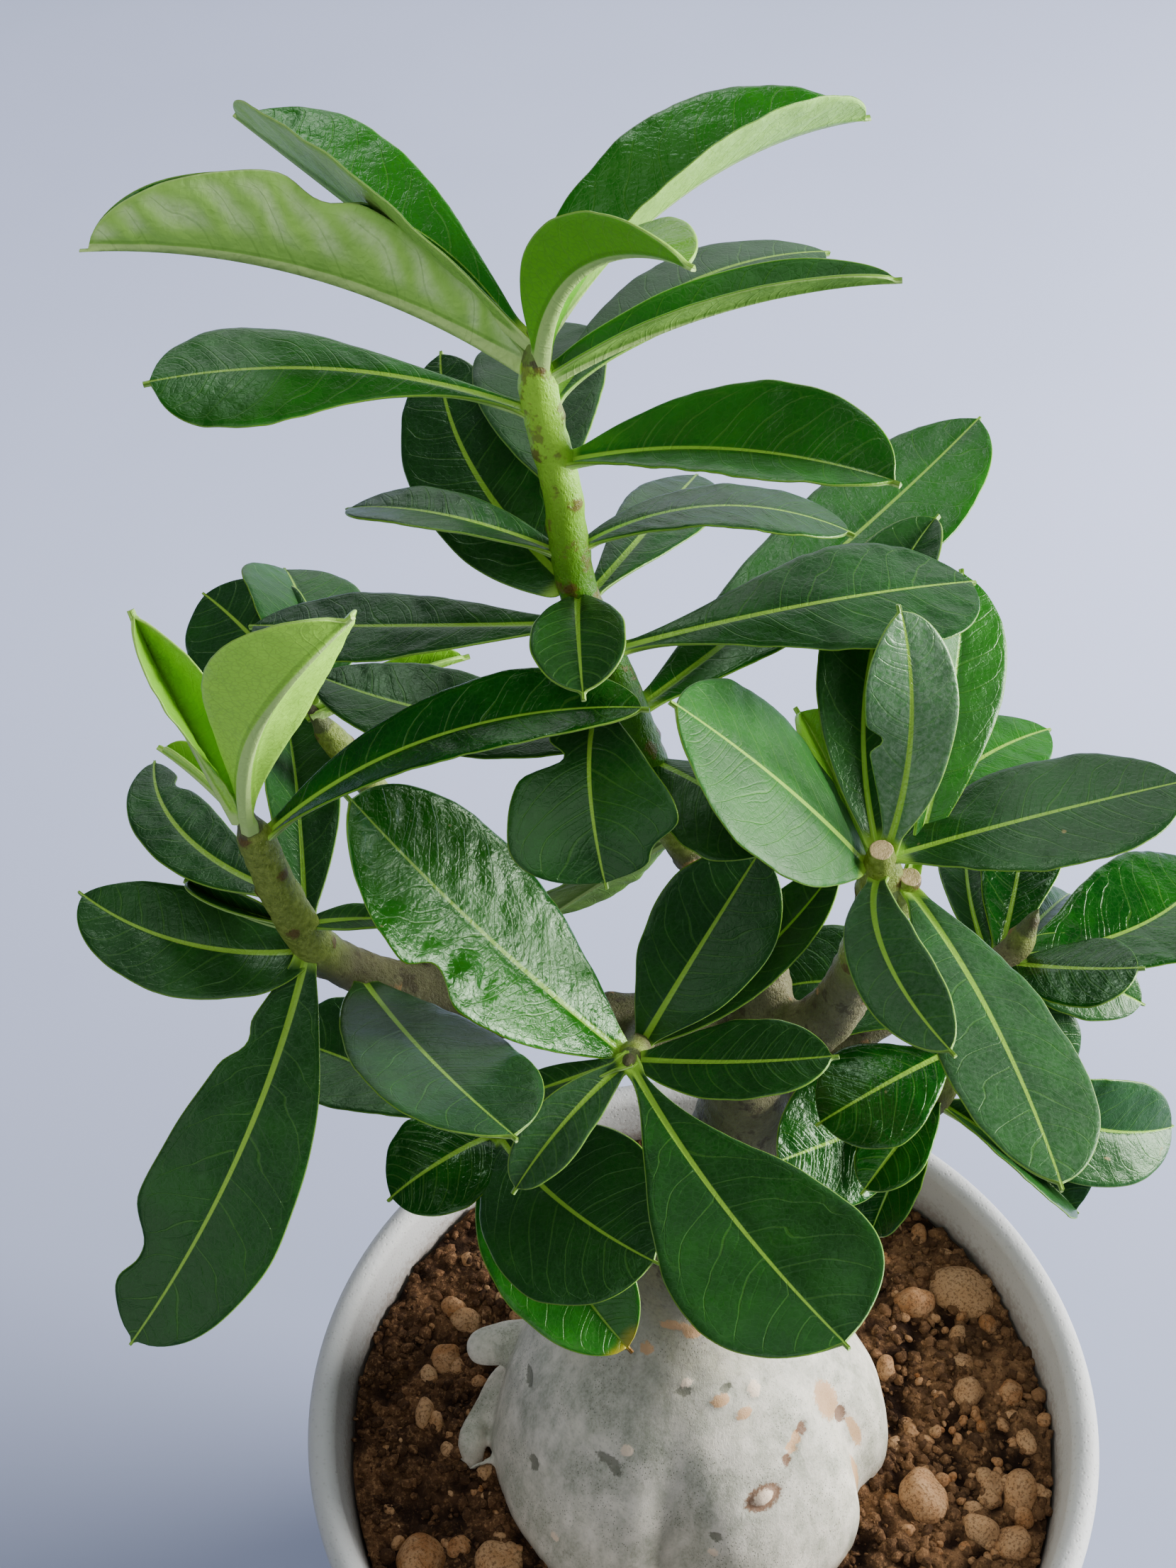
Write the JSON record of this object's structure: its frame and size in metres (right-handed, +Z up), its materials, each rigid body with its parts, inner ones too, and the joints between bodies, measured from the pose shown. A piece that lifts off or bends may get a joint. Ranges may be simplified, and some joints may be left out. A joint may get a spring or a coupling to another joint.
{
  "type": "potted desert rose adenium",
  "caption": "Desert rose in a round pale grey pot: a swollen silvery base, bare forked branches and rosettes of glossy dark green leaves over dark stony soil.",
  "frame": {"origin": "centre of the pot's flat underside", "axes": "+Z up, -Y towards the side that the picture was taken from, +X to the right in that view"},
  "size_m": [0.2667, 0.22, 0.5692],
  "materials": {
    "pot": "matte pale grey, faintly mottled",
    "soil": "dark brown crumbly potting mix with tan stones",
    "bark": "smooth silvery green-grey bark with tan scars",
    "leaf": "glossy dark green with pale yellow-green veins"
  },
  "bodies": {
    "root": {"pot": "pot", "soil": "soil", "trunk": "bark", "top_shoot": "leaf", "left_shoot": "leaf", "back_left_shoot": "leaf", "front_cluster": "leaf", "low_left_shoot": "leaf", "right_cluster": "leaf", "low_right_shoot": "leaf", "far_right_shoot": "leaf"}
  },
  "joints": []
}
